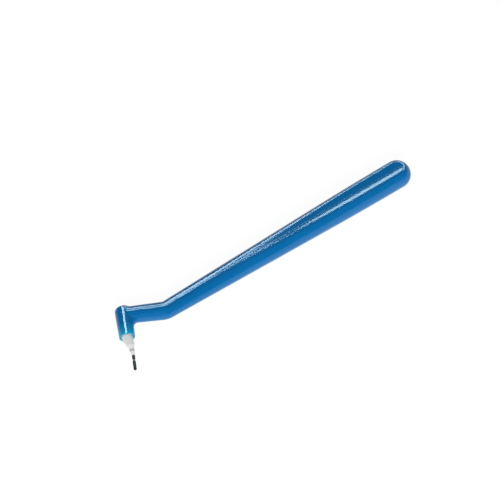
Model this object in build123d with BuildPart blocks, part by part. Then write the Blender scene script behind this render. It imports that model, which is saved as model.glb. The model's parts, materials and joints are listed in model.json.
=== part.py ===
"""Periodontal probe with a click mechanism in its angled head and a snap-in tip.

The instrument lies on its rest flat. The origin is the middle of that flat, +X runs along the
handle to its domed end, +Z is up and the tip points towards -Y. Places along the handle are
measured from the bend, where the axes of the handle and the neck meet. All sizes are in
millimetres.
"""

import os
from itertools import pairwise
from math import atan2, degrees, radians, sin

from build123d import *

# Handle: a straight round taper, then a crown that levels out into a dome
BEND_RADIUS = 4.0
DOME_RADIUS = 6.2
HANDLE_LENGTH = 121.7  # bend to the centre of the dome
CROWN_START = 80.0
OUTLINE_STATIONS = [0, 27, 54, CROWN_START, 94, 108, HANDLE_LENGTH]  # where its arcs join
OUTLINE_BOW = 0.004  # rise of each arc's middle, so that no stretch is a true cone
WALL = 2.0

# Finger scoop on the upper side and rest flat on the lower side, both fading out near the bend
FACET_START = 27.0
FACET_END = 119.0
SCOOP_RADIUS = 9.5
SCOOP_START_HEIGHT = 4.73
SCOOP_END_HEIGHT = 4.9
FLAT_START_HEIGHT = 4.55
FLAT_END_HEIGHT = 5.66
REST_PLACE = 73.0  # the middle of the rest flat
CUT_REACH = 20.0  # length and width by which the cutting shapes overrun

# Neck and head
BEND_ANGLE = 27.0
HEAD_ANGLE = 89.0  # from the neck's direction round to the tip's
NECK_LENGTH = 18.1
NECK_END_RADIUS = 3.7
HEAD_TOP = 3.8  # rise of the head's flat top above the neck's axis
HEAD_TOP_RADIUS = 3.85
HEAD_CORNER = 2.2
THROAT_FILLET = 1.5
RIM_RADIUS = 3.5
RIM = 11.4  # depth of the rim below the neck's axis, along the head

# Ribs inside the handle: thin ones hold the stiffening rod, thick ones carry the dowels
CAVITY_START = 10.0
ROD_RIBS = [20.0, 34.0, 48.0, 61.0]
ROD_RIB_THICKNESS = 1.2
DOWEL_RIBS = [77.0, 93.0, 109.0]
DOWEL_RIB_THICKNESS = 3.4
DOWEL_RADIUS = 0.8
DOWEL_LENGTH = 2.0
DOWEL_CLEARANCE = 0.05

# Bent steel rod that stiffens the neck
ROD_RADIUS = 1.25
ROD_BEND_RADIUS = 6.0
ROD_IN_NECK = 12.0
ROD_IN_HANDLE = 64.0

# Clearances of the fitted and the running parts
FIT_GAP = 0.02
RUNNING_GAP = 0.06

# Head mechanism, placed by depth along the head's axis; negative is above the neck's axis
STROKE = 1.2
DISC_CHAMBER_RADIUS = 2.2
DISC_CHAMBER_TOP = -2.4
SEAT_TOP = -0.9
SEAT_BOTTOM = -0.1
CHAMBER_RADIUS = 2.6
BUSH_TOP = 4.3
BUSH_BOTTOM = 8.15
MOUTH_RADIUS = 2.95
WIPER_BOTTOM = 8.95

# Carrier that holds the tip and slides in the bush
STEM_TOP = -1.05
STEM_RADIUS = 0.8
FLANGE_TOP = 3.4
FLANGE_RADIUS = 2.4
SLEEVE_RADIUS = 2.0
SLEEVE_END = 10.2
SOCKET_RADIUS = 1.42
SOCKET_TOP = 6.5
GROOVE_RADIUS = 1.7
GROOVE_DEPTH = 8.0
GROOVE_WIDTH = 0.5
PIN_RADIUS = 0.35
PIN_DEPTH = 5.7
PIN_HALF_LENGTH = 2.5

# Springs
DISC_RADIUS = 2.1
DISC_VENT_RADIUS = 0.25
DISC_THICKNESS = 0.1
DISC_RISE = 0.3
WIRE_RADIUS = 0.175
COIL_RADIUS = 1.6
COIL_TURNS = 4.5
LOCK_WIRE_RADIUS = 0.2
LOCK_GAP = 0.7

# Snap-in tip: the hub leans off the head's axis, towards the handle, as it narrows
PLUG_RADIUS = 1.36
PLUG_TOP = 6.6
PLUG_GROOVE_RADIUS = 1.14
HUB_TOP = WIPER_BOTTOM + STROKE + 0.1
HUB_RADIUS = 2.3
STEP_DEPTH = 16.3
STEP_OFFSET = 1.0
STEP_RADIUS = 1.42
NOSE_DEPTH = 20.8
NOSE_OFFSET = 1.5
NOSE_RADIUS = 0.75
SKIRT_RADIUS = 2.85
SKIRT_END_RADIUS = 1.85

# Probe rod and the black bands sleeved over it, placed by distance along the rod
POINT_START = (1.5, 18.5)  # offset and depth of the rod's buried end
POINT_END = (1.42, 28.45)  # offset and depth of the rounded tip
POINT_RADIUS = 0.5
BAND_RADIUS = 0.7
UPPER_BAND = (2.5, 4.3)
LOWER_BAND_START = 5.4

# Slope of the straight taper, which the crown's even bend brings to zero at the dome
TAPER_SLOPE = 2 * (DOME_RADIUS - BEND_RADIUS) / (CROWN_START + HANDLE_LENGTH)
CROWN_BEND = TAPER_SLOPE / (2 * (HANDLE_LENGTH - CROWN_START))

# The bend, seen from the origin on the rest flat
FLAT_TILT = (FLAT_END_HEIGHT - FLAT_START_HEIGHT) / (FACET_END - FACET_START)
BEND = Vector(-REST_PLACE, 0, FLAT_START_HEIGHT + FLAT_TILT * (REST_PLACE - FACET_START))

# Derived directions and frames
NECK_DIRECTION = Vector(-1, 0, 0).rotate(Axis.Z, -BEND_ANGLE)
TIP_DIRECTION = NECK_DIRECTION.rotate(Axis.Z, HEAD_ANGLE)
SIDE_DIRECTION = TIP_DIRECTION.rotate(Axis.Z, 90)
HEAD_CENTRE = BEND + NECK_DIRECTION * NECK_LENGTH
HEAD_AXIS = Axis(HEAD_CENTRE, TIP_DIRECTION)
HEAD_SECTION = Plane(origin=HEAD_CENTRE, x_dir=SIDE_DIRECTION, z_dir=(0, 0, -1))
NECK_PLANE = Plane(origin=BEND, x_dir=(0, 0, 1), z_dir=NECK_DIRECTION)
SEAM_PLANE = Plane(origin=BEND)
PROFILE_PLANE = Plane(origin=BEND, x_dir=(1, 0, 0), z_dir=(0, -1, 0))
HANDLE_AXIS = Axis(BEND, (1, 0, 0))


def handle_plane(place):
    """The plane across the handle at this place, facing the dome."""
    return Plane(origin=BEND + Vector(place, 0, 0), x_dir=(0, 1, 0), z_dir=(1, 0, 0))


def head_point(offset, depth):
    """The point at this depth along the head's axis, offset towards the handle."""
    return HEAD_CENTRE + SIDE_DIRECTION * offset + TIP_DIRECTION * depth


def head_plane(depth, offset=0.0):
    """The plane across the head at this depth, facing the tip."""
    return Plane(origin=head_point(offset, depth), x_dir=SIDE_DIRECTION, z_dir=TIP_DIRECTION)


def head_ring(*corners):
    """Revolves a closed outline of (radius, depth) corners about the head's axis."""
    with BuildPart() as ring:
        with BuildSketch(HEAD_SECTION):
            with BuildLine():
                Polyline(*corners, close=True)
            make_face()
        revolve(axis=HEAD_AXIS)
    return ring.part


def outline_point(place, inset, bow=0.0):
    """Point of the handle's outline: a straight taper, then a crown that levels out."""
    levelling = max(place - CROWN_START, 0)
    return (place, BEND_RADIUS + TAPER_SLOPE * place - CROWN_BEND * levelling**2 + bow - inset)


def handle_face(inset):
    """Half outline of the handle beside its axis, pulled in by inset."""
    dome = DOME_RADIUS - inset
    corner = dome * sin(radians(45))
    with BuildSketch(SEAM_PLANE) as face:
        with BuildLine():
            for start, end in pairwise(OUTLINE_STATIONS):
                ThreePointArc(
                    outline_point(start, inset),
                    outline_point((start + end) / 2, inset, OUTLINE_BOW),
                    outline_point(end, inset),
                )
            ThreePointArc(
                outline_point(HANDLE_LENGTH, inset),
                (HANDLE_LENGTH + corner, corner),
                (HANDLE_LENGTH + dome, 0),
            )
            Polyline((HANDLE_LENGTH + dome, 0), (0, 0), outline_point(0, inset))
        make_face()
    return face.sketch


def rod_shape(radius):
    """Round bar of this radius along the bent centre line of the stiffening rod."""
    with BuildPart() as bar:
        with BuildLine() as centre_line:
            FilletPolyline(
                BEND + NECK_DIRECTION * ROD_IN_NECK,
                BEND,
                BEND + Vector(ROD_IN_HANDLE, 0, 0),
                radius=ROD_BEND_RADIUS,
            )
        with BuildSketch(Plane(origin=centre_line.line @ 0, z_dir=centre_line.line % 0)):
            Circle(radius)
        sweep()
    return bar.part


def hub_cone(base_radius, step_radius):
    """Leaning cone from the rim to the step in the hub."""
    with BuildPart() as cone:
        with BuildSketch(head_plane(RIM)):
            Circle(base_radius)
        with BuildSketch(head_plane(STEP_DEPTH, STEP_OFFSET)):
            Circle(step_radius)
        loft(ruled=True)
    return cone.part


def save(solid, name):
    """Labels a finished piece and writes its STEP file."""
    solid.label = name
    export_step(solid, f"parts/{name}.step")


os.makedirs("parts", exist_ok=True)

# ---- Outer form of the handle, neck and head -------------------------------------------------

scoop_tilt = (SCOOP_END_HEIGHT - SCOOP_START_HEIGHT) / (FACET_END - FACET_START)
scoop_plane = Plane(
    origin=BEND + Vector(0, 0, SCOOP_START_HEIGHT - FACET_START * scoop_tilt + SCOOP_RADIUS),
    z_dir=(1, 0, scoop_tilt),
)
cut_end = HANDLE_LENGTH + CUT_REACH
flat_near_height = FLAT_START_HEIGHT - FACET_START * FLAT_TILT
flat_far_height = flat_near_height + cut_end * FLAT_TILT
throat = head_point(NECK_END_RADIUS, NECK_END_RADIUS)

with BuildPart() as envelope:
    revolve(handle_face(0), axis=HANDLE_AXIS)
    with Locations(BEND):
        Sphere(BEND_RADIUS)
    with BuildSketch(NECK_PLANE):
        Circle(BEND_RADIUS)
    with BuildSketch(NECK_PLANE.offset(NECK_LENGTH)):
        Circle(NECK_END_RADIUS)
    loft()
    with BuildSketch(HEAD_SECTION) as head_outline:
        with BuildLine():
            Polyline(
                (0, -HEAD_TOP),
                (HEAD_TOP_RADIUS, -HEAD_TOP),
                (RIM_RADIUS, RIM),
                (0, RIM),
                close=True,
            )
        make_face()
        corner = head_outline.vertices().sort_by(Axis.Y)[:2].sort_by(Axis.X)[-1]
        fillet(corner, HEAD_CORNER)
    revolve(axis=HEAD_AXIS)
    throat_edges = envelope.edges().filter_by(GeomType.BSPLINE).sort_by_distance(throat)
    fillet(throat_edges[:2], THROAT_FILLET)
    with BuildSketch(scoop_plane):
        Circle(SCOOP_RADIUS)
    extrude(amount=cut_end, mode=Mode.SUBTRACT)
    with BuildSketch(PROFILE_PLANE):
        with BuildLine():
            Polyline(
                (0, -flat_near_height),
                (cut_end, -flat_far_height),
                (cut_end, -CUT_REACH),
                (0, -CUT_REACH),
                close=True,
            )
        make_face()
    extrude(amount=CUT_REACH, both=True, mode=Mode.SUBTRACT)

# ---- Hollow inside: ribbed handle cavity, rod channel and head chambers ----------------------

with BuildPart() as cavity:
    revolve(handle_face(WALL), axis=HANDLE_AXIS)
    with BuildSketch(handle_plane(-CUT_REACH)):
        Rectangle(2 * CUT_REACH, 2 * CUT_REACH)
    extrude(amount=CUT_REACH + CAVITY_START, mode=Mode.SUBTRACT)
    for position in ROD_RIBS:
        with BuildSketch(handle_plane(position)):
            Circle(DOME_RADIUS)
        extrude(amount=ROD_RIB_THICKNESS, mode=Mode.SUBTRACT)
    for position in DOWEL_RIBS:
        with BuildSketch(handle_plane(position - DOWEL_RIB_THICKNESS / 2)):
            Circle(DOME_RADIUS)
        extrude(amount=DOWEL_RIB_THICKNESS, mode=Mode.SUBTRACT)
    add(rod_shape(ROD_RADIUS + FIT_GAP))
    add(
        head_ring(
            (0, DISC_CHAMBER_TOP),
            (DISC_CHAMBER_RADIUS, DISC_CHAMBER_TOP),
            (DISC_CHAMBER_RADIUS, SEAT_TOP),
            (CHAMBER_RADIUS, SEAT_TOP),
            (CHAMBER_RADIUS, BUSH_TOP),
            (MOUTH_RADIUS, BUSH_TOP),
            (MOUTH_RADIUS, RIM + CUT_REACH),
            (0, RIM + CUT_REACH),
        )
    )

# ---- Handle shells, split in the bend plane --------------------------------------------------

with BuildPart() as handle_shell_upper:
    add(envelope.part)
    add(cavity.part, mode=Mode.SUBTRACT)
    split(bisect_by=SEAM_PLANE, keep=Keep.TOP)
    for position in DOWEL_RIBS:
        with BuildSketch(SEAM_PLANE):
            with Locations((position, 0)):
                Circle(DOWEL_RADIUS + DOWEL_CLEARANCE)
        extrude(amount=DOWEL_LENGTH + DOWEL_CLEARANCE, mode=Mode.SUBTRACT)
save(handle_shell_upper.part, "handle_shell_upper")

with BuildPart() as handle_shell_lower:
    add(envelope.part)
    add(cavity.part, mode=Mode.SUBTRACT)
    split(bisect_by=SEAM_PLANE, keep=Keep.BOTTOM)
    for position in DOWEL_RIBS:
        with BuildSketch(SEAM_PLANE):
            with Locations((position, 0)):
                Circle(DOWEL_RADIUS)
        extrude(amount=DOWEL_LENGTH)
save(handle_shell_lower.part, "handle_shell_lower")

save(rod_shape(ROD_RADIUS), "stiffening_rod")

# ---- Head mechanism --------------------------------------------------------------------------

with BuildPart() as click_disc:
    rim_height = DISC_CHAMBER_TOP + FIT_GAP
    with BuildSketch(HEAD_SECTION):
        with BuildLine():
            inner = ThreePointArc(
                (DISC_VENT_RADIUS, rim_height + DISC_RISE),
                (DISC_RADIUS / 2, rim_height + DISC_RISE * 3 / 4),
                (DISC_RADIUS, rim_height),
            )
            offset(inner, DISC_THICKNESS, side=Side.LEFT)
        make_face()
    revolve(axis=HEAD_AXIS)
save(click_disc.part, "click_disc")

save(
    head_ring(
        (STEM_RADIUS + RUNNING_GAP, SEAT_TOP + FIT_GAP),
        (CHAMBER_RADIUS - FIT_GAP, SEAT_TOP + FIT_GAP),
        (CHAMBER_RADIUS - FIT_GAP, SEAT_BOTTOM),
        (STEM_RADIUS + RUNNING_GAP, SEAT_BOTTOM),
    ),
    "spring_seat",
)

with BuildPart() as force_spring:
    coil_top = SEAT_BOTTOM + WIRE_RADIUS + FIT_GAP
    coil_height = FLANGE_TOP - SEAT_BOTTOM - 2 * (WIRE_RADIUS + FIT_GAP)
    with BuildLine() as coil:
        Helix(
            pitch=coil_height / COIL_TURNS,
            height=coil_height,
            radius=COIL_RADIUS,
            center=head_point(0, coil_top),
            direction=TIP_DIRECTION,
        )
    with BuildSketch(Plane(origin=coil.line @ 0, z_dir=coil.line % 0)):
        Circle(WIRE_RADIUS)
    sweep(is_frenet=True)
save(force_spring.part, "force_spring")

with BuildPart() as guide_bush:
    add(
        head_ring(
            (SLEEVE_RADIUS + RUNNING_GAP, BUSH_TOP + FIT_GAP),
            (MOUTH_RADIUS - FIT_GAP, BUSH_TOP + FIT_GAP),
            (MOUTH_RADIUS - FIT_GAP, BUSH_BOTTOM),
            (SLEEVE_RADIUS + RUNNING_GAP, BUSH_BOTTOM),
        )
    )
    slot_end = PIN_DEPTH + PIN_RADIUS + RUNNING_GAP
    with BuildSketch(HEAD_SECTION):
        with Locations((0, (BUSH_TOP + slot_end) / 2)):
            Rectangle(2 * (PIN_RADIUS + RUNNING_GAP), slot_end - BUSH_TOP)
    extrude(amount=MOUTH_RADIUS, both=True, mode=Mode.SUBTRACT)
save(guide_bush.part, "guide_bush")

with BuildPart() as wiper_ring:
    add(
        head_ring(
            (SLEEVE_RADIUS + RUNNING_GAP / 2, BUSH_BOTTOM + FIT_GAP),
            (MOUTH_RADIUS - FIT_GAP, BUSH_BOTTOM + FIT_GAP),
            (MOUTH_RADIUS - FIT_GAP, WIPER_BOTTOM),
            (SLEEVE_RADIUS + RUNNING_GAP / 2, WIPER_BOTTOM),
        )
    )
    fillet(wiper_ring.edges().filter_by(GeomType.CIRCLE), 0.2)
save(wiper_ring.part, "wiper_ring")

with BuildPart() as tip_carrier:
    add(
        head_ring(
            (0, STEM_TOP),
            (STEM_RADIUS, STEM_TOP),
            (STEM_RADIUS, FLANGE_TOP),
            (FLANGE_RADIUS, FLANGE_TOP),
            (FLANGE_RADIUS, BUSH_TOP),
            (SLEEVE_RADIUS, BUSH_TOP),
            (SLEEVE_RADIUS, SLEEVE_END),
            (SOCKET_RADIUS, SLEEVE_END),
            (SOCKET_RADIUS, GROOVE_DEPTH + GROOVE_WIDTH / 2),
            (GROOVE_RADIUS, GROOVE_DEPTH + GROOVE_WIDTH / 2),
            (GROOVE_RADIUS, GROOVE_DEPTH - GROOVE_WIDTH / 2),
            (SOCKET_RADIUS, GROOVE_DEPTH - GROOVE_WIDTH / 2),
            (SOCKET_RADIUS, SOCKET_TOP),
            (0, SOCKET_TOP),
        )
    )
    with BuildSketch(HEAD_SECTION):
        with Locations((0, PIN_DEPTH)):
            Circle(PIN_RADIUS + FIT_GAP)
    extrude(amount=FLANGE_RADIUS, both=True, mode=Mode.SUBTRACT)
save(tip_carrier.part, "tip_carrier")

with BuildPart() as guide_pin:
    with BuildSketch(HEAD_SECTION):
        with Locations((0, PIN_DEPTH)):
            Circle(PIN_RADIUS)
    extrude(amount=PIN_HALF_LENGTH, both=True)
save(guide_pin.part, "guide_pin")

with BuildPart() as tip_lock_ring:
    with BuildSketch(HEAD_SECTION):
        with Locations((SOCKET_RADIUS, GROOVE_DEPTH)):
            Circle(LOCK_WIRE_RADIUS)
    revolve(axis=HEAD_AXIS)
    with BuildSketch(head_plane(GROOVE_DEPTH - GROOVE_WIDTH)):
        with Locations((-SOCKET_RADIUS, 0)):
            Rectangle(SOCKET_RADIUS, LOCK_GAP)
    extrude(amount=2 * GROOVE_WIDTH, mode=Mode.SUBTRACT)
save(tip_lock_ring.part, "tip_lock_ring")

# ---- Snap-in tip -----------------------------------------------------------------------------

point_lean = degrees(atan2(POINT_END[0] - POINT_START[0], POINT_END[1] - POINT_START[1]))
point_direction = TIP_DIRECTION.rotate(Axis.Z, point_lean)
point_length = (head_point(*POINT_END) - head_point(*POINT_START)).length


def point_plane(distance):
    """The plane across the probe rod at this distance from its buried end."""
    return Plane(origin=head_point(*POINT_START) + point_direction * distance, z_dir=point_direction)


with BuildPart() as tip_hub:
    add(
        head_ring(
            (0, PLUG_TOP),
            (PLUG_RADIUS, PLUG_TOP),
            (PLUG_RADIUS, GROOVE_DEPTH - GROOVE_WIDTH / 2),
            (PLUG_GROOVE_RADIUS, GROOVE_DEPTH - GROOVE_WIDTH / 2),
            (PLUG_GROOVE_RADIUS, GROOVE_DEPTH + GROOVE_WIDTH / 2),
            (PLUG_RADIUS, GROOVE_DEPTH + GROOVE_WIDTH / 2),
            (PLUG_RADIUS, HUB_TOP),
            (HUB_RADIUS, HUB_TOP),
            (HUB_RADIUS, RIM),
            (0, RIM),
        )
    )
    add(hub_cone(HUB_RADIUS, STEP_RADIUS))
    with BuildSketch(head_plane(STEP_DEPTH, STEP_OFFSET)):
        Circle(STEP_RADIUS)
    with BuildSketch(head_plane(NOSE_DEPTH, NOSE_OFFSET)):
        Circle(NOSE_RADIUS)
    loft(ruled=True)
    with BuildSketch(point_plane(0)):
        Circle(POINT_RADIUS + FIT_GAP)
    extrude(amount=point_length, mode=Mode.SUBTRACT)
save(tip_hub.part, "tip_hub")

with BuildPart() as hub_skirt:
    add(hub_cone(SKIRT_RADIUS, SKIRT_END_RADIUS))
    with BuildSketch(head_plane(HUB_TOP)):
        Circle(SKIRT_RADIUS)
    extrude(amount=RIM - HUB_TOP)
    with BuildSketch(head_plane(HUB_TOP)):
        Circle(HUB_RADIUS + FIT_GAP)
    extrude(amount=RIM - HUB_TOP, mode=Mode.SUBTRACT)
    add(hub_cone(HUB_RADIUS + FIT_GAP, STEP_RADIUS + FIT_GAP), mode=Mode.SUBTRACT)
save(hub_skirt.part, "hub_skirt")

with BuildPart() as probe_rod:
    with BuildSketch(point_plane(0)):
        Circle(POINT_RADIUS)
    extrude(amount=point_length - BAND_RADIUS)
save(probe_rod.part, "probe_rod")

with BuildPart() as depth_bands:
    with BuildSketch(point_plane(UPPER_BAND[0])):
        Circle(BAND_RADIUS)
    extrude(amount=UPPER_BAND[1] - UPPER_BAND[0])
    with BuildSketch(point_plane(LOWER_BAND_START)):
        Circle(BAND_RADIUS)
    extrude(amount=point_length - BAND_RADIUS - LOWER_BAND_START)
    with Locations(point_plane(point_length - BAND_RADIUS)):
        Sphere(BAND_RADIUS)
    with BuildSketch(point_plane(0)):
        Circle(POINT_RADIUS + FIT_GAP)
    extrude(amount=point_length - BAND_RADIUS + FIT_GAP, mode=Mode.SUBTRACT)
save(depth_bands.part, "depth_bands")
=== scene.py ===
"""Looks of the periodontal probe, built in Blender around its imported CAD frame.

The moulded shells are drawn from a distance field, so that all their edges are rounded. The snap-in
tip and the springs are lofted from rings. The small parts inside keep their CAD shapes. The shape
code works in millimetres from the bend, where the axes of the handle and the neck meet, and each
finished piece is moved to its place in the CAD frame and scaled to metres.
"""

import json
import math

import bmesh
import bpy
import numpy as np
from mathutils import Matrix, Vector


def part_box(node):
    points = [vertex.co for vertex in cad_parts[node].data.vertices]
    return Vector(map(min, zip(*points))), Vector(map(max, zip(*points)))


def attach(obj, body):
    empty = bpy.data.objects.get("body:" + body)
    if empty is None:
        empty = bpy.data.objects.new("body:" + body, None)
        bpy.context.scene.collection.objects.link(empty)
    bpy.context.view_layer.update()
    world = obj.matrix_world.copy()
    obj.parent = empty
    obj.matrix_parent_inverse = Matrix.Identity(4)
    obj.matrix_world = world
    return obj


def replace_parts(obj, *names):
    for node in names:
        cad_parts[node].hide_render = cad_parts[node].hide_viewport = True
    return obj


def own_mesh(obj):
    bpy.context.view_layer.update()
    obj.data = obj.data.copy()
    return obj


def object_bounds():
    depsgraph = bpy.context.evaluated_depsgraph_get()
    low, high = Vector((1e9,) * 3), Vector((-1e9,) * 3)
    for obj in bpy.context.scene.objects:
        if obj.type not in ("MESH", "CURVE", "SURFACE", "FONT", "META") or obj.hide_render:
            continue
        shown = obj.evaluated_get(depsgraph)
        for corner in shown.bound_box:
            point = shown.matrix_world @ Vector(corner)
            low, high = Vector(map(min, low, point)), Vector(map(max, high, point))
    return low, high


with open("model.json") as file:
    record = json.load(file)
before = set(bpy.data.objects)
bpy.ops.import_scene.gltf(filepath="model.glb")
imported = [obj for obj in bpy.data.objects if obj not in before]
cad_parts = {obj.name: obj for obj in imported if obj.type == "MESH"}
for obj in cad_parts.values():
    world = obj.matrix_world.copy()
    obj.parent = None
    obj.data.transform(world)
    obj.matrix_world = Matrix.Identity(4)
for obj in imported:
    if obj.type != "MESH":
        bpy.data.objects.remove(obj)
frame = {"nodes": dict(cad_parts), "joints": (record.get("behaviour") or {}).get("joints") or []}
cad_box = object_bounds()

MM = 0.001
UP = np.array((0.0, 0.0, 1.0))

# Handle and neck
BEND_RADIUS = 4.0
BEND_SWEEP = 6.0
DOME_RADIUS = 6.2
CROWN_START = 80.0
NECK_END_RADIUS = 3.7
NECK_LENGTH = 18.1
HEAD_ANGLE = math.radians(89.0)  # from the neck's direction round to the tip's
WALL = 2.0

# Finger scoop above and rest flat below: heights over the handle's axis
FACET_START = 27.0
FACET_END = 119.0
SCOOP_HEIGHTS = (4.73, 4.9)  # at the facet's start and end
SCOOP_RADIUS = 9.5
FLAT_HEIGHTS = (4.55, 5.66)
FACET_EDGE = 0.6
FACET_FADE = 40.0  # length over which the rounding of the facet edges grows
LEAST_FADE = 0.02  # share of it where a facet starts

# Head
HEAD_TOP = 3.8
HEAD_TOP_RADIUS = 3.85
HEAD_CORNER = 2.2
RIM = 11.4
RIM_RADIUS = 3.5
RIM_EDGE = 0.22
CREASE = 0.15  # blend between neck and head beside the head's axis
THROAT = 3.2  # and in the throat

# Hollow inside the shells
CAVITY_START = 10.0
ROD_RIBS = [(20.0, 21.2), (34.0, 35.2), (48.0, 49.2), (61.0, 62.2)]
DOWEL_PLACES = [77.0, 93.0, 109.0]
DOWEL_RIB_HALF = 1.7
DOWEL_RIBS = [(place - DOWEL_RIB_HALF, place + DOWEL_RIB_HALF) for place in DOWEL_PLACES]
DOWEL_RADIUS = 0.8
DOWEL_LENGTH = 2.0
DOWEL_ROOT = 1.0  # how far a dowel reaches back into its rib
DOWEL_CLEARANCE = 0.05
CHANNEL_RADIUS = 1.27
CHANNEL_IN_HANDLE = 64.0
CHANNEL_IN_NECK = 12.0
HEAD_CHAMBERS = [(2.2, -2.4, -0.9), (2.6, -0.9, 4.3), (2.95, 4.3, RIM + 5.0)]  # radius, top, bottom
INNER_FILLET = 0.3
SHELL_EDGE = 0.1
SEAM_EDGE = 0.1

# Net of the distance field
CELL = 0.25
LONG_CELL = 0.7  # along the plain stretches of the handle
SEAM_CELL = 0.06  # across the seam, where the shells meet
CELL_GROWTH = 0.22  # how much the cells grow for each millimetre away from a busy stretch
NET_MARGIN = 3 * CELL
NET_ROUNDS = 4
SLOPE_STEP = 0.004
LEAST_SLOPE = 0.3  # keeps the steps onto the surface short where the field is nearly level

# Tip: corners of each outline as offset towards the handle, depth along the head and radius
GROOVE = (7.75, 8.25)
GROOVE_RADIUS = 1.14
PLUG_TOP = 6.6
PLUG_RADIUS = 1.36
HUB_TOP = 10.25
HUB_RADIUS = 2.3
STEP = (1.0, 16.3)
STEP_RADIUS = 1.42
NOSE = (1.5, 20.8)
NOSE_RADIUS = 0.75
SKIRT_RADIUS = 2.85
SKIRT_END_RADIUS = 1.85
FIT_GAP = 0.02
POINT_START = (1.5, 18.5)
POINT_END = (1.42, 28.45)
POINT_RADIUS = 0.5
BAND_RADIUS = 0.7
UPPER_BAND = (2.5, 4.3)
LOWER_BAND_START = 5.4
HUB_EDGE = 0.12
SKIRT_EDGE = 0.14
ROD_EDGE = 0.06
BAND_EDGE = 0.08

# Springs
SEAT_BOTTOM = -0.1
FLANGE_TOP = 3.4
COIL_RADIUS = 1.6
COIL_WIRE = 0.175
COIL_TURNS = 5.5
DISC_RIM_DEPTH = -2.38
DISC_RADIUS = 2.1
DISC_RISE = 0.3
DISC_THICKNESS = 0.1
DISC_VENT = 0.25
LOCK_DEPTH = 8.0
LOCK_RADIUS = 1.42
LOCK_WIRE = 0.2
LOCK_GAP = 0.7

# Fineness of the lofted shapes
TURN_SEGMENTS = 72
ROD_SEGMENTS = 40
BAND_SEGMENTS = 48
WIRE_SEGMENTS = 20
EASE_STEPS = 4
CAP_STEPS = 4
DOME_STEPS = 10
COIL_STEPS = 40  # in each turn
DISC_STEPS = 14
RING_STEPS = 90
MERGE_DISTANCE = 1e-7

# Places and directions read from the frame
joints = {joint["name"]: joint for joint in frame["joints"]}
TIP = np.array(joints["tip_turn"]["axis"])
SIDE = np.cross(UP, TIP)
NECK = TIP * math.cos(HEAD_ANGLE) + np.cross(TIP, UP) * math.sin(HEAD_ANGLE)
HEAD_CENTRE = NECK * NECK_LENGTH
BEND = np.array(joints["tip_turn"]["pos_m"]) / MM - HEAD_CENTRE  # where the shape code's origin lies
HANDLE_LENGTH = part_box("handle_shell_upper")[1].x / MM - BEND[0] - DOME_RADIUS
DOME_CENTRE = np.array((HANDLE_LENGTH, 0.0, 0.0))

# Bend: the centre line turns on an arc between the handle's axis and the neck's
HALF_BEND = math.acos(-NECK[0]) / 2
BEND_TANGENT = BEND_SWEEP * math.tan(HALF_BEND)
BISECTOR = NECK + (1.0, 0.0, 0.0)
ARC_CENTRE = BISECTOR / np.linalg.norm(BISECTOR) * BEND_SWEEP / math.cos(HALF_BEND)
TAPER_SLOPE = 2 * (DOME_RADIUS - BEND_RADIUS) / (CROWN_START + HANDLE_LENGTH)


# ---- Distance field of the shells ------------------------------------------------------------


def smooth_min(a, b, width):
    """The lesser of a and b, with the corner between them filled over this width."""
    overlap = np.maximum(width - np.abs(a - b), 0.0)
    return np.minimum(a, b) - overlap**2 / (4 * width)


def smooth_max(a, b, width):
    """The greater of a and b, with the corner between them eased over this width."""
    return -smooth_min(-a, -b, width)


def round_max(a, b, radius):
    """The greater of a and b, with the corner between them rounded to this radius."""
    corner = np.hypot(np.maximum(a + radius, 0.0), np.maximum(b + radius, 0.0))
    return np.minimum(np.maximum(a, b), -radius) + corner


def bent_line(points):
    """Distance from the centre line of handle and neck, and place along it: negative in the neck."""
    x, y, z = points.T
    along_neck = points @ NECK
    off_neck = np.hypot(points @ np.cross(NECK, UP), z)
    off_handle = np.hypot(y, z)
    off_arc = np.hypot(np.hypot(x - ARC_CENTRE[0], y - ARC_CENTRE[1]) - BEND_SWEEP, z)
    in_handle = x > BEND_TANGENT
    in_neck = along_neck > BEND_TANGENT
    distance = np.where(in_handle, off_handle, np.where(in_neck, off_neck, off_arc))
    distance = np.where(in_handle & in_neck, np.minimum(off_handle, off_neck), distance)
    place = np.where(in_handle, x, np.where(in_neck, -along_neck, (x - along_neck) / 2))
    return distance, place


def outer_radius(place):
    """Outside radius of neck and handle at this place along the centre line."""
    neck = BEND_RADIUS + (BEND_RADIUS - NECK_END_RADIUS) / NECK_LENGTH * place
    taper = BEND_RADIUS + TAPER_SLOPE * place
    crown_length = HANDLE_LENGTH - CROWN_START
    crown = DOME_RADIUS - TAPER_SLOPE * (HANDLE_LENGTH - place) ** 2 / (2 * crown_length)
    return np.where(place < 0, neck, np.where(place < CROWN_START, taper, crown))


def facet_height(x, heights):
    """Height of a facet over the handle's axis, which rises along the handle."""
    start, end = heights
    return start + (end - start) / (FACET_END - FACET_START) * (x - FACET_START)


def tube_field(points, distance, place):
    """Field of the round handle with its dome, and of the neck."""
    dome = np.linalg.norm(points - DOME_CENTRE, axis=1) - DOME_RADIUS
    return np.where(place > HANDLE_LENGTH, dome, distance - outer_radius(place))


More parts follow.
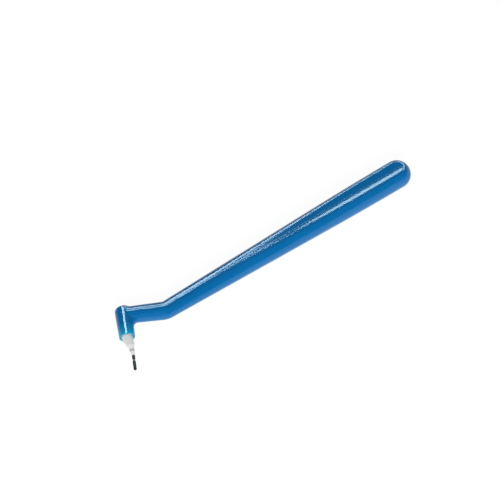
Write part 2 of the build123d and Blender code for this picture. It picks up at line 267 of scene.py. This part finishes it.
def envelope_field(points, tube, place, depth, reach):
    """Field of the whole outside form."""
    x, y, z = points.T
    scoop = SCOOP_RADIUS - np.hypot(y, z - facet_height(x, SCOOP_HEIGHTS) - SCOOP_RADIUS)
    flat = -z - facet_height(x, FLAT_HEIGHTS)
    facets = np.where(place > 0, np.maximum(scoop, flat), -BEND_RADIUS)
    fade = np.clip(place / FACET_FADE, LEAST_FADE, 1.0)
    tube = smooth_max(tube, facets, FACET_EDGE * fade)
    tube = np.maximum(tube, -place - NECK_LENGTH)
    taper = (depth + HEAD_TOP) / (RIM + HEAD_TOP)
    head_radius = HEAD_TOP_RADIUS + (RIM_RADIUS - HEAD_TOP_RADIUS) * taper
    head = round_max(reach - head_radius, -HEAD_TOP - depth, HEAD_CORNER)
    head = round_max(head, depth - RIM, RIM_EDGE)
    beside_plane = np.clip(1 - (z / NECK_END_RADIUS) ** 2, 0.0, 1.0)
    into_throat = np.clip(depth / NECK_END_RADIUS, 0.0, 1.0) ** 2 * beside_plane
    return smooth_min(tube, head, CREASE + (THROAT - CREASE) * into_throat)


def hollow_field(tube, distance, place, depth, reach):
    """Field of the ribbed cavity, the channel of the stiffening rod and the head chambers."""
    cavity = smooth_max(tube + WALL, CAVITY_START - place, INNER_FILLET)
    for start, end in ROD_RIBS + DOWEL_RIBS:
        rib = (end - start) / 2 - np.abs(place - (start + end) / 2)
        cavity = smooth_max(cavity, rib, INNER_FILLET)
    channel_end = np.maximum(place - CHANNEL_IN_HANDLE, -place - CHANNEL_IN_NECK)
    hollow = np.minimum(cavity, np.maximum(distance - CHANNEL_RADIUS, channel_end))
    for radius, top, bottom in HEAD_CHAMBERS:
        chamber = np.maximum(reach - radius, np.maximum(top - depth, depth - bottom))
        hollow = np.minimum(hollow, chamber)
    return hollow


def shell_field(points):
    """Field of the two shells together: negative in the plastic."""
    distance, place = bent_line(points)
    from_head = points - HEAD_CENTRE
    depth = from_head @ TIP
    reach = np.hypot(from_head @ SIDE, points[:, 2])
    tube = tube_field(points, distance, place)
    envelope = envelope_field(points, tube, place, depth, reach)
    return smooth_max(envelope, -hollow_field(tube, distance, place, depth, reach), SHELL_EDGE)


def dowel_field(points, radius, length):
    """Field of the row of dowels that stand on the bend plane."""
    x, y, z = points.T
    off_axis = np.min([np.hypot(x - place, y) for place in DOWEL_PLACES], axis=0)
    return round_max(off_axis - radius, np.abs(z) - length, INNER_FILLET)


def upper_field(points):
    """Field of the upper shell, with its dowel holes."""
    half = smooth_max(shell_field(points), -points[:, 2], SEAM_EDGE)
    holes = dowel_field(points, DOWEL_RADIUS + DOWEL_CLEARANCE, DOWEL_LENGTH + DOWEL_CLEARANCE)
    return smooth_max(half, -holes, SEAM_EDGE)


def lower_field(points):
    """Field of the lower shell, with its dowels."""
    half = smooth_max(shell_field(points), points[:, 2], SEAM_EDGE)
    dowels = np.maximum(dowel_field(points, DOWEL_RADIUS, DOWEL_LENGTH), -DOWEL_ROOT - points[:, 2])
    return np.minimum(half, dowels)


# ---- Net over a distance field ---------------------------------------------------------------


def graded_lines(start, end, finest, coarsest, busy):
    """Grid lines from start to end that lie closer together near the busy stretches."""
    lines = [start]
    while lines[-1] < end:
        away = min(max(low - lines[-1], lines[-1] - high, 0.0) for low, high in busy)
        lines.append(lines[-1] + min(coarsest, finest + CELL_GROWTH * away))
    return np.array(lines)


def surface_net(field, lines):
    """One point in every grid cell that the surface crosses, and the quads that join them."""
    grid = np.stack(np.meshgrid(*lines, indexing="ij"), axis=-1)
    value = field(grid.reshape(-1, 3)).reshape(grid.shape[:3])
    cells = tuple(len(line) - 1 for line in lines)
    total = np.zeros(cells + (3,))
    count = np.zeros(cells)
    crossings = []

    # Add each crossing of a grid edge to the four cells around that edge
    for axis in range(3):
        low = tuple(slice(0, -1) if k == axis else slice(None) for k in range(3))
        high = tuple(slice(1, None) if k == axis else slice(None) for k in range(3))
        crossed = (value[low] < 0) != (value[high] < 0)
        gap = np.where(crossed, value[low] - value[high], 1.0)
        share = (value[low] / gap)[..., None]
        where = (grid[low] * (1 - share) + grid[high] * share) * crossed[..., None]
        crossings.append((crossed, value[low] < 0))
        others = [k for k in range(3) if k != axis]
        for first in (0, 1):
            for second in (0, 1):
                part = [slice(None)] * 3
                part[others[0]] = slice(first, cells[others[0]] + first)
                part[others[1]] = slice(second, cells[others[1]] + second)
                total += where[tuple(part)]
                count += crossed[tuple(part)]

    # Each crossed cell gets one point, in the middle of its crossings
    used = count > 0
    points = total[used] / count[used][:, None]
    index = np.full(cells, -1)
    index[used] = np.arange(len(points))

    # Each crossed edge gets one quad, through the points of its four cells
    quads = []
    for axis, (crossed, leaving) in enumerate(crossings):
        order = (axis, (axis + 1) % 3, (axis + 2) % 3)
        cell = index.transpose(order)
        inner = crossed.transpose(order)[:, 1:-1, 1:-1]
        outward = leaving.transpose(order)[:, 1:-1, 1:-1][inner]
        ring = [cell[:, :-1, :-1], cell[:, 1:, :-1], cell[:, 1:, 1:], cell[:, :-1, 1:]]
        corners = np.stack([corner[inner] for corner in ring], axis=1)
        quads.append(np.where(outward[:, None], corners, corners[:, ::-1]))
    return points, np.concatenate(quads)


def field_slope(field, points):
    """Gradient of a field at each point."""
    slope = np.empty_like(points)
    for axis in range(3):
        step = np.eye(3)[axis] * SLOPE_STEP
        slope[:, axis] = (field(points + step) - field(points - step)) / (2 * SLOPE_STEP)
    return slope


def settle(field, points):
    """Moves points onto the surface and returns them with their surface normals."""
    slope = field_slope(field, points)
    steepness = np.maximum(np.linalg.norm(slope, axis=1), LEAST_SLOPE)[:, None]
    step = np.clip(field(points)[:, None] / steepness, -CELL, CELL)
    return points - step * slope / steepness, slope / steepness


def even_net(field, points, quads):
    """Evens the net out: each point moves to the middle of its neighbours, then to the surface."""
    starts = quads.ravel()
    ends = np.roll(quads, -1, axis=1).ravel()
    count = np.bincount(starts, minlength=len(points))[:, None]
    for _ in range(NET_ROUNDS):
        total = [np.bincount(starts, points[ends, axis], len(points)) for axis in range(3)]
        points = (points + np.stack(total, axis=1) / count) / 2
        points, _ = settle(field, points)
    points, _ = settle(field, points)
    return settle(field, points)


# ---- Lofted shapes ---------------------------------------------------------------------------


def eased(corners, size, closed=False):
    """Replaces each inner corner of an outline by a short curve of about this size."""
    corners = [np.array(corner, float) for corner in corners]
    count = len(corners)
    outline = []
    for i, corner in enumerate(corners):
        if not closed and i in (0, count - 1):
            outline.append(corner)
            continue
        legs = [corners[i - 1] - corner, corners[(i + 1) % count] - corner]
        lengths = [np.linalg.norm(leg) for leg in legs]
        before, after = (
            corner + leg / length * min(size, length * 0.45) for leg, length in zip(legs, lengths)
        )
        for t in np.linspace(0, 1, EASE_STEPS + 1):
            outline.append((1 - t) ** 2 * before + 2 * t * (1 - t) * corner + t * t * after)
    return outline


def ring_loft(rings, closed=False):
    """Mesh points and faces over a list of rings, each an array of points in the same turn."""
    segments = len(rings[0])
    points = np.concatenate(rings)
    faces = []
    for i in range(len(rings) if closed else len(rings) - 1):
        here = i * segments
        there = (i + 1) % len(rings) * segments
        for k in range(segments):
            after = (k + 1) % segments
            faces.append((here + k, here + after, there + after, there + k))
    return points, faces


def turned(outline, origin=HEAD_CENTRE, axis=TIP, closed=False, segments=TURN_SEGMENTS):
    """Loft of rings across an axis, from an outline of (offset, depth, radius) corners."""
    across = np.cross(UP, axis)
    angles = np.linspace(0, 2 * math.pi, segments, endpoint=False)[:, None]
    spokes = np.cos(angles) * across + np.sin(angles) * UP
    rings = []
    for offset, depth, radius in outline:
        rings.append(origin + across * offset + axis * depth + radius * spokes)
    return ring_loft(rings, closed)


def wire(path, radius):
    """Round wire with rounded ends along a path of points."""
    path = np.array(path)
    along = np.gradient(path, axis=0)
    along /= np.linalg.norm(along, axis=1)[:, None]
    cap_angles = np.linspace(0, math.pi / 2, CAP_STEPS + 1)[:-1]
    stations = [(path[0] - along[0] * radius * math.cos(a), along[0], math.sin(a)) for a in cap_angles]
    stations += [(point, direction, 1.0) for point, direction in zip(path, along)]
    stations += [
        (path[-1] + along[-1] * radius * math.cos(a), along[-1], math.sin(a))
        for a in cap_angles[::-1]
    ]
    side = np.cross(along[0], UP)
    angles = np.linspace(0, 2 * math.pi, WIRE_SEGMENTS, endpoint=False)[:, None]
    rings = []
    for point, direction, share in stations:
        side = side - direction * (side @ direction)
        side /= np.linalg.norm(side)
        spokes = np.cos(angles) * side + np.sin(angles) * np.cross(direction, side)
        rings.append(point + radius * share * spokes)
    return ring_loft(rings)


def joined(*shapes):
    """Several (points, faces) shapes as one."""
    points = []
    faces = []
    for shape_points, shape_faces in shapes:
        start = sum(len(p) for p in points)
        points.append(shape_points)
        faces += [tuple(start + corner for corner in face) for face in shape_faces]
    return np.concatenate(points), faces


# ---- Materials -------------------------------------------------------------------------------

# Widths of the surface marks, in millimetres
FLOW_SIZE = 2.5
MARK_SIZE = 0.35
RELIEF_SIZE = 0.8
STREAK_SIZE = 0.12
WEAR_SIZE = 0.3
# How sharply the painted sheen rises towards the silhouette
SHEEN_SHARPNESS = 3.0


def add_node(tree, kind, inputs=None, **settings):
    """Adds a shader node. An input value may be another node's output socket."""
    node = tree.nodes.new("ShaderNode" + kind)
    for key, value in settings.items():
        setattr(node, key, value)
    for key, value in (inputs or {}).items():
        if isinstance(value, bpy.types.NodeSocket):
            tree.links.new(value, node.inputs[key])
        else:
            node.inputs[key].default_value = value
    return node


def noise(tree, size_mm, stretch=(1.0, 1.0, 1.0), detail=3.0):
    """Noise whose features are about size_mm wide, drawn out along an axis by stretch."""
    place = add_node(tree, "TexCoord").outputs["Object"]
    scale = [1.0 / (size_mm * MM * factor) for factor in stretch]
    mapping = add_node(tree, "Mapping", {"Vector": place, "Scale": scale})
    texture = add_node(
        tree, "TexNoise", {"Vector": mapping.outputs["Vector"], "Scale": 1.0, "Detail": detail}
    )
    return texture.outputs["Fac"]


def spread(tree, value, low, high):
    """Maps a noise value, which mostly lies between 0.3 and 0.7, to the range from low to high."""
    node = add_node(
        tree,
        "MapRange",
        {"Value": value, "From Min": 0.3, "From Max": 0.7, "To Min": low, "To Max": high},
    )
    return node.outputs["Result"]


def blend_colours(tree, share, first, second, kind="MIX"):
    """Mixes two colours, either of which may be a socket."""
    node = add_node(tree, "Mix", data_type="RGBA", blend_type=kind)
    for socket, value in ((node.inputs[0], share), (node.inputs[6], first), (node.inputs[7], second)):
        if isinstance(value, bpy.types.NodeSocket):
            tree.links.new(value, socket)
        else:
            socket.default_value = value if isinstance(value, float) else (*value, 1.0)
    return node.outputs[2]


def new_material(name, inputs):
    """Material with a Principled shader that has these inputs, and that shader's node."""
    material = bpy.data.materials.new(name)
    material.use_nodes = True
    tree = material.node_tree
    tree.nodes.clear()
    shader = add_node(tree, "BsdfPrincipled", inputs)
    add_node(tree, "OutputMaterial", {"Surface": shader.outputs["BSDF"]})
    return material, tree, shader


def depth_band(tree, depth, half_width):
    """Mask that peaks at this depth along the head and fades out to either side."""
    place = add_node(tree, "TexCoord").outputs["Object"]
    along = add_node(tree, "VectorMath", {0: place, 1: TIP / MM}, operation="DOT_PRODUCT")
    peak = float((BEND + HEAD_CENTRE) @ TIP) + depth
    away = add_node(tree, "Math", {0: along.outputs["Value"], 1: peak}, operation="SUBTRACT")
    away = add_node(tree, "Math", {0: away.outputs[0]}, operation="ABSOLUTE")
    limits = {"From Min": 0.0, "From Max": half_width, "To Min": 1.0, "To Max": 0.0}
    return add_node(tree, "MapRange", {"Value": away.outputs[0], **limits}).outputs["Result"]


def moulded_plastic(
    name, colour, edge, roughness, flow=(8.0, 1.0, 1.0), bump=0.004, tint=None, **inputs
):
    """Moulded plastic: faint flow lines, a painted sheen towards the silhouette, and fine handling
    marks.

    The bump is the height of its relief in millimetres. A tint is another colour around a depth
    along the head, with the half width that it fades over.
    """
    material, tree, shader = new_material(name, inputs)
    # Painted sheen: towards the silhouette the colour turns to edge, a painted reflection of the white
    # surroundings at grazing angles
    grazing_sheen = add_node(tree, "LayerWeight", {"Blend": 0.25}).outputs["Facing"]
    grazing_sheen = add_node(tree, "Math", {0: grazing_sheen, 1: SHEEN_SHARPNESS}, operation="POWER").outputs[0]
    body = blend_colours(tree, grazing_sheen, colour, edge)
    if tint:
        tint_colour, depth, half_width = tint
        body = blend_colours(tree, depth_band(tree, depth, half_width), body, tint_colour)
    flow_tone = spread(tree, noise(tree, FLOW_SIZE, flow), low=0.96, high=1.04)
    tone = add_node(tree, "CombineColor", {0: flow_tone, 1: flow_tone, 2: flow_tone}).outputs[0]
    tree.links.new(blend_colours(tree, 1.0, body, tone, "MULTIPLY"), shader.inputs["Base Color"])
    marks = noise(tree, MARK_SIZE, stretch=(6.0, 1.0, 1.0), detail=5.0)
    tree.links.new(spread(tree, marks, roughness * 0.9, roughness * 1.1), shader.inputs["Roughness"])
    relief = add_node(
        tree,
        "Bump",
        {"Height": noise(tree, RELIEF_SIZE, flow, detail=2.0), "Distance": bump * MM, "Strength": 0.6},
    )
    tree.links.new(relief.outputs["Normal"], shader.inputs["Normal"])
    return material


def drawn_metal(name, colour, roughness, stretch):
    """Machined or drawn metal: streaks along the stretch axis in tone, roughness and relief."""
    material, tree, shader = new_material(name, {"Metallic": 1.0})
    streaks = noise(tree, STREAK_SIZE, stretch, detail=4.0)
    dark = [channel * 0.8 for channel in colour]
    tone = blend_colours(tree, spread(tree, streaks, 0, 1), dark, colour)
    tree.links.new(tone, shader.inputs["Base Color"])
    wear = noise(tree, WEAR_SIZE, stretch)
    tree.links.new(spread(tree, wear, roughness * 0.7, roughness * 1.4), shader.inputs["Roughness"])
    relief = add_node(tree, "Bump", {"Height": streaks, "Distance": 0.004 * MM, "Strength": 0.5})
    tree.links.new(relief.outputs["Normal"], shader.inputs["Normal"])
    return material


EVEN = (1.0, 1.0, 1.0)  # no flow lines or streaks along any one axis
BLUE = (0.002, 0.145, 0.40)
# Painted sheen of the blue plastic where it is seen at a grazing angle
BLUE_SHEEN = (0.02, 0.25, 0.50)
# Painted light: lighter blue round the head's open end, for light that shows through the thin
# translucent wall there
BLUE_MOUTH_GLOW = (0.01, 0.36, 0.60)
MOUTH_FADE = 6.0
HUB_WAIST = (0.42, 0.38, 0.35)
WAIST_DEPTH = 18.5
WAIST_FADE = 0.8

# Each edge colour is a painted sheen, shown where a surface is seen at a grazing angle
materials = {
    "handle_plastic": moulded_plastic(
        "blue_plastic",
        colour=BLUE,
        edge=BLUE_SHEEN,
        roughness=0.12,
        bump=0.0005,
        # painted glow of light through the head's thin wall, fading out from the rim
        tint=(BLUE_MOUTH_GLOW, RIM, MOUTH_FADE),
        **{"Specular IOR Level": 0.3},
    ),
    "hub_plastic": moulded_plastic(
        "milky_plastic",
        colour=(0.93, 0.90, 0.93),
        edge=(0.94, 0.93, 0.94),
        roughness=0.32,
        flow=EVEN,
        tint=(HUB_WAIST, WAIST_DEPTH, WAIST_FADE),
    ),
    "skirt_plastic": moulded_plastic(
        "clear_plastic",
        colour=(0.86, 0.92, 0.91),
        edge=(0.90, 0.94, 0.93),
        roughness=0.25,
        flow=EVEN,
        Alpha=0.3,
    ),
    "bush_plastic": moulded_plastic(
        "acetal",
        colour=(0.74, 0.72, 0.66),
        edge=(0.8, 0.79, 0.74),
        roughness=0.38,
    ),
    "carrier_plastic": moulded_plastic(
        "black_acetal",
        colour=(0.02, 0.021, 0.023),
        edge=(0.05, 0.05, 0.05),
        roughness=0.35,
    ),
    "wiper_silicone": moulded_plastic(
        "grey_silicone",
        colour=(0.12, 0.13, 0.14),
        edge=(0.2, 0.21, 0.22),
        roughness=0.55,
        flow=EVEN,
        bump=0.012,
    ),
    "band_plastic": moulded_plastic(
        "black_sleeve",
        colour=(0.022, 0.020, 0.016),
        edge=(0.04, 0.04, 0.035),
        roughness=0.6,
        flow=EVEN,
        bump=0.01,
        **{"Specular IOR Level": 0.2},
    ),
    "rod_steel": drawn_metal(
        "drawn_steel", colour=(0.60, 0.61, 0.63), roughness=0.28, stretch=(14.0, 1.0, 1.0)
    ),
    "spring_steel": drawn_metal(
        "spring_steel", colour=(0.55, 0.56, 0.58), roughness=0.22, stretch=(1.0, 1.0, 6.0)
    ),
    "point_steel": drawn_metal(
        "dark_steel", colour=(0.12, 0.12, 0.115), roughness=0.34, stretch=(3.0, 8.0, 1.0)
    ),
    "seat_brass": drawn_metal(
        "turned_brass", colour=(0.80, 0.60, 0.28), roughness=0.25, stretch=(1.0, 1.0, 4.0)
    ),
}


# ---- Pieces ----------------------------------------------------------------------------------


def in_frame(points):
    """Moves points of the shape code, in millimetres, to the CAD frame, in metres."""
    return (np.array(points) + BEND) * MM


def make_piece(name, points, faces, body, slot, node, normals=None):
    """Mesh piece from points in millimetres, riding on a body and standing for one CAD node."""
    mesh = bpy.data.meshes.new(name)
    mesh.from_pydata(in_frame(points).tolist(), [], [tuple(face) for face in faces])
    if normals is None:
        normals = clean_mesh(mesh)
    mesh.polygons.foreach_set("use_smooth", [True] * len(mesh.polygons))
    mesh.normals_split_custom_set_from_vertices(np.asarray(normals).tolist())
    mesh.materials.append(materials[slot])
    piece = bpy.data.objects.new(name, mesh)
    bpy.context.scene.collection.objects.link(piece)
    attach(piece, body)
    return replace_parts(piece, node)


def clean_mesh(mesh):
    """Merges the points of closed ends, turns all faces outward and returns area-weighted normals."""
    work = bmesh.new()
    work.from_mesh(mesh)
    bmesh.ops.remove_doubles(work, verts=work.verts, dist=MERGE_DISTANCE)
    bmesh.ops.recalc_face_normals(work, faces=work.faces)
    normals = []
    for vertex in work.verts:
        total = sum((face.normal * face.calc_area() for face in vertex.link_faces), Vector())
        normals.append(total.normalized())
    work.to_mesh(mesh)
    work.free()
    return normals


def build_shell(name, node, field):
    """One moulded shell, drawn from its distance field inside the box of its CAD node."""
    low, high = (np.array(corner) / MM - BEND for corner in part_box(node))
    busy = [(low[0], BEND_RADIUS), (HANDLE_LENGTH, high[0])] + ROD_RIBS + DOWEL_RIBS
    lines = [
        graded_lines(low[0] - NET_MARGIN, high[0] + NET_MARGIN, CELL, LONG_CELL, busy),
        graded_lines(low[1] - NET_MARGIN, high[1] + NET_MARGIN, CELL, CELL, [(0.0, 0.0)]),
        graded_lines(low[2] - NET_MARGIN, high[2] + NET_MARGIN, SEAM_CELL, CELL, [(0.0, 0.0)]),
    ]
    points, quads = surface_net(field, lines)
    points, normals = even_net(field, points, quads)
    make_piece(name, points, quads.tolist(), "handle", "handle_plastic", node, normals)


def build_hub():
    """White hub: plug with its lock groove, leaning cone, waist and bore for the probe rod."""
    bore_radius = POINT_RADIUS + FIT_GAP
    outline = [
        (0, PLUG_TOP, 0),
        (0, PLUG_TOP, PLUG_RADIUS),
        (0, GROOVE[0], PLUG_RADIUS),
        (0, GROOVE[0], GROOVE_RADIUS),
        (0, GROOVE[1], GROOVE_RADIUS),
        (0, GROOVE[1], PLUG_RADIUS),
        (0, HUB_TOP, PLUG_RADIUS),
        (0, HUB_TOP, HUB_RADIUS),
        (0, RIM, HUB_RADIUS),
        (*STEP, STEP_RADIUS),
        (*NOSE, NOSE_RADIUS),
        (*NOSE, bore_radius),
        (*POINT_START, bore_radius),
        (*POINT_START, 0),
    ]
    points, faces = turned(eased(outline, HUB_EDGE))
    make_piece("tip_hub_moulding", points, faces, "tip", "hub_plastic", "tip_hub")


def build_skirt():
    """Translucent collar round the hub."""
    outline = [
        (0, HUB_TOP, HUB_RADIUS + FIT_GAP),
        (0, HUB_TOP, SKIRT_RADIUS),
        (0, RIM, SKIRT_RADIUS),
        (*STEP, SKIRT_END_RADIUS),
        (*STEP, STEP_RADIUS + FIT_GAP),
        (0, RIM, HUB_RADIUS + FIT_GAP),
    ]
    points, faces = turned(eased(outline, SKIRT_EDGE, closed=True), closed=True)
    make_piece("hub_skirt_collar", points, faces, "tip", "skirt_plastic", "hub_skirt")


def build_point():
    """Probe rod and the two black sleeves on it."""
    start, end = (
        HEAD_CENTRE + SIDE * offset + TIP * depth for offset, depth in (POINT_START, POINT_END)
    )
    length = float(np.linalg.norm(end - start))
    axis = (end - start) / length
    straight = length - BAND_RADIUS
    rod = [(0, 0, 0), (0, 0, POINT_RADIUS), (0, straight, POINT_RADIUS), (0, straight, 0)]
    points, faces = turned(eased(rod, ROD_EDGE), start, axis, segments=ROD_SEGMENTS)
    make_piece("probe_rod_wire", points, faces, "tip", "point_steel", "probe_rod")
    bore = POINT_RADIUS + FIT_GAP
    upper = [
        (0, UPPER_BAND[0], bore),
        (0, UPPER_BAND[0], BAND_RADIUS),
        (0, UPPER_BAND[1], BAND_RADIUS),
        (0, UPPER_BAND[1], bore),
    ]
    dome = [
        (0, straight + BAND_RADIUS * math.sin(a), BAND_RADIUS * math.cos(a))
        for a in np.linspace(0, math.pi / 2, DOME_STEPS)
    ]
    lower = [(0, LOWER_BAND_START, bore), (0, LOWER_BAND_START, BAND_RADIUS), *dome]
    cup = [(0, straight + FIT_GAP, 0), (0, straight + FIT_GAP, bore)]
    sleeves = joined(
        turned(eased(upper, BAND_EDGE, closed=True), start, axis, closed=True, segments=BAND_SEGMENTS),
        turned(cup + eased(lower, BAND_EDGE), start, axis, segments=BAND_SEGMENTS),
    )
    make_piece("depth_band_sleeves", *sleeves, "tip", "band_plastic", "depth_bands")


def ring_point(radius, angle, depth):
    """Point at this depth in the head, at a radius and angle round its axis."""
    spoke = SIDE * math.cos(angle) + UP * math.sin(angle)
    return HEAD_CENTRE + TIP * depth + spoke * radius


def build_springs():
    """Coil spring and click disc, which flatten as the tip is pressed, and the split lock ring."""
    top = SEAT_BOTTOM + COIL_WIRE + FIT_GAP
    bottom = FLANGE_TOP - COIL_WIRE - FIT_GAP
    end_pitch = 2 * COIL_WIRE + FIT_GAP
    turns = np.linspace(0, COIL_TURNS, int(COIL_TURNS * COIL_STEPS))
    rise = [0, end_pitch, bottom - top - end_pitch, bottom - top]
    depths = top + np.interp(turns, [0, 1, COIL_TURNS - 1, COIL_TURNS], rise)
    coil = [ring_point(COIL_RADIUS, turn * 2 * math.pi, depth) for turn, depth in zip(turns, depths)]
    spring = make_piece(
        "force_spring_coil", *wire(coil, COIL_WIRE), "handle", "spring_steel", "force_spring"
    )
    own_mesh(spring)

    radii = np.linspace(DISC_VENT, DISC_RADIUS, DISC_STEPS)
    rises = DISC_RISE * (1 - (radii / DISC_RADIUS) ** 2)
    under = [(0, DISC_RIM_DEPTH + rise, radius) for radius, rise in zip(radii, rises)]
    over = [(0, depth + DISC_THICKNESS, radius) for _, depth, radius in under[::-1]]
    points, faces = turned(under + over, closed=True)
    disc = make_piece("click_disc_dome", points, faces, "handle", "spring_steel", "click_disc")
    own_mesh(disc)

    half_gap = math.asin(LOCK_GAP / 2 / LOCK_RADIUS) + LOCK_WIRE / LOCK_RADIUS
    angles = np.linspace(math.pi + half_gap, 3 * math.pi - half_gap, RING_STEPS)
    ring = [ring_point(LOCK_RADIUS, angle, LOCK_DEPTH) for angle in angles]
    make_piece(
        "tip_lock_wire", *wire(ring, LOCK_WIRE), "lock_ring", "spring_steel", "tip_lock_ring"
    )


def dress_cad_nodes():
    """Gives the CAD nodes that are shown as built their material."""
    slots = {
        "stiffening_rod": "rod_steel",
        "spring_seat": "seat_brass",
        "guide_bush": "bush_plastic",
        "wiper_ring": "wiper_silicone",
        "tip_carrier": "carrier_plastic",
        "guide_pin": "rod_steel",
    }
    for name, slot in slots.items():
        node = frame["nodes"][name]
        node.data.materials.clear()
        node.data.materials.append(materials[slot])


build_shell("upper_handle_shell", "handle_shell_upper", upper_field)
build_shell("lower_handle_shell", "handle_shell_lower", lower_field)
build_hub()
build_skirt()
build_point()
build_springs()
dress_cad_nodes()


# ---- Floor, light and camera -----------------------------------------------------------------

# Stage, in metres
AZIMUTH = math.radians(-35.1)
ELEVATION = math.radians(57.0)
FIELD_WIDTH = 0.2155
FLOOR_SIZE = 6.0
PICTURE_CENTRE = (0.0364, 0.0261)  # right of and above the bend, in the picture plane
SOFTBOX_DISTANCE = 2.0
HIGHLIGHT_COLOUR = (0.6, 0.88, 1.0)

camera_back = Vector((
    math.sin(AZIMUTH) * math.cos(ELEVATION),
    -math.cos(AZIMUTH) * math.cos(ELEVATION),
    math.sin(ELEVATION),
))
camera_right = Vector((math.cos(AZIMUTH), math.sin(AZIMUTH), 0.0))
camera_up = camera_back.cross(camera_right)
bend_place = Vector(in_frame(np.zeros(3)))


def build_camera():
    """Camera at the viewing angle, without perspective, as through a very long lens."""
    data = bpy.data.cameras.new("camera")
    data.type = "ORTHO"
    data.ortho_scale = FIELD_WIDTH
    camera = bpy.data.objects.new("camera", data)
    bpy.context.scene.collection.objects.link(camera)
    aim = bend_place + camera_right * PICTURE_CENTRE[0] + camera_up * PICTURE_CENTRE[1]
    camera.location = aim + camera_back
    camera.rotation_euler = camera_back.to_track_quat("Z", "Y").to_euler()
    bpy.context.scene.camera = camera


def build_softbox(name, direction, width, height, power, highlight=True):
    """Rectangular light in a direction given in the picture's own axes.

    It either makes a highlight in glossy surfaces or lights their colour.
    """
    data = bpy.data.lights.new(name, "AREA")
    data.shape = "RECTANGLE"
    data.size = width
    data.size_y = height
    data.energy = power
    data.color = HIGHLIGHT_COLOUR if highlight else (1.0, 1.0, 1.0)
    light = bpy.data.objects.new(name, data)
    bpy.context.scene.collection.objects.link(light)
    away = camera_right * direction[0] + camera_up * direction[1] + camera_back * direction[2]
    away.normalize()
    right = camera_right - away * camera_right.dot(away)
    right.normalize()
    turn = Matrix((right, away.cross(right), away)).transposed().to_4x4()
    light.matrix_world = Matrix.Translation(bend_place + away * SOFTBOX_DISTANCE) @ turn
    light.visible_glossy = highlight
    light.visible_diffuse = not highlight


def build_floor():
    """White floor under the object with faint shadows, clear from below."""
    bpy.ops.mesh.primitive_plane_add(size=FLOOR_SIZE, location=(0, 0, cad_box[0].z))
    floor = bpy.context.object
    floor.name = "floor"
    material = bpy.data.materials.new("white_floor")
    material.use_nodes = True
    tree = material.node_tree
    tree.nodes.clear()
    geometry = add_node(tree, "NewGeometry")
    lit = add_node(tree, "BsdfDiffuse", {"Color": (0.15, 0.15, 0.15, 1.0)})
    glow = add_node(tree, "Emission", {"Color": (1.0, 1.0, 1.0, 1.0), "Strength": 0.92})
    front = add_node(tree, "AddShader", {0: lit.outputs[0], 1: glow.outputs[0]})
    through = add_node(tree, "BsdfTransparent")
    sides = {0: geometry.outputs["Backfacing"], 1: front.outputs[0], 2: through.outputs[0]}
    shader = add_node(tree, "MixShader", sides)
    add_node(tree, "OutputMaterial", {"Surface": shader.outputs[0]})
    floor.data.materials.append(material)


def build_world():
    """White surroundings for the camera, soft fill for matt surfaces, dim for reflections."""
    world = bpy.data.worlds.new("studio")
    bpy.context.scene.world = world
    world.use_nodes = True
    tree = world.node_tree
    tree.nodes.clear()
    path = add_node(tree, "LightPath")
    seen = add_node(tree, "Background", {"Color": (1.0, 1.0, 1.0, 1.0), "Strength": 1.0})
    fill = add_node(tree, "Background", {"Color": (1.0, 1.0, 1.0, 1.0), "Strength": 0.4})
    dim = add_node(tree, "Background", {"Color": (1.0, 1.0, 1.0, 1.0), "Strength": 0.05})
    soft = add_node(
        tree, "MixShader", {0: path.outputs["Is Glossy Ray"], 1: fill.outputs[0], 2: dim.outputs[0]}
    )
    shader = add_node(
        tree, "MixShader", {0: path.outputs["Is Camera Ray"], 1: soft.outputs[0], 2: seen.outputs[0]}
    )
    add_node(tree, "OutputWorld", {"Surface": shader.outputs[0]})


build_camera()
build_floor()
build_world()

# Lines along the handle and the neck, the loop round the dome, the line down the head, the colours
build_softbox("back_softbox", (-0.22, 0.975, 0.03), width=0.66, height=1.00, power=38.0)
build_softbox("end_softbox", (0.25, 0.96, 0.0), width=0.90, height=1.00, power=36.0)
build_softbox("head_softbox", (-0.19, 0.87, 0.45), width=0.76, height=0.40, power=27.0)
build_softbox("front_softbox", (0.10, -0.45, 0.89), width=1.20, height=1.20, power=28.0, highlight=False)

bpy.context.scene.view_settings.view_transform = "Standard"
bpy.context.scene.cycles.denoising_input_passes = "RGB"  # the other passes keep noise in highlights
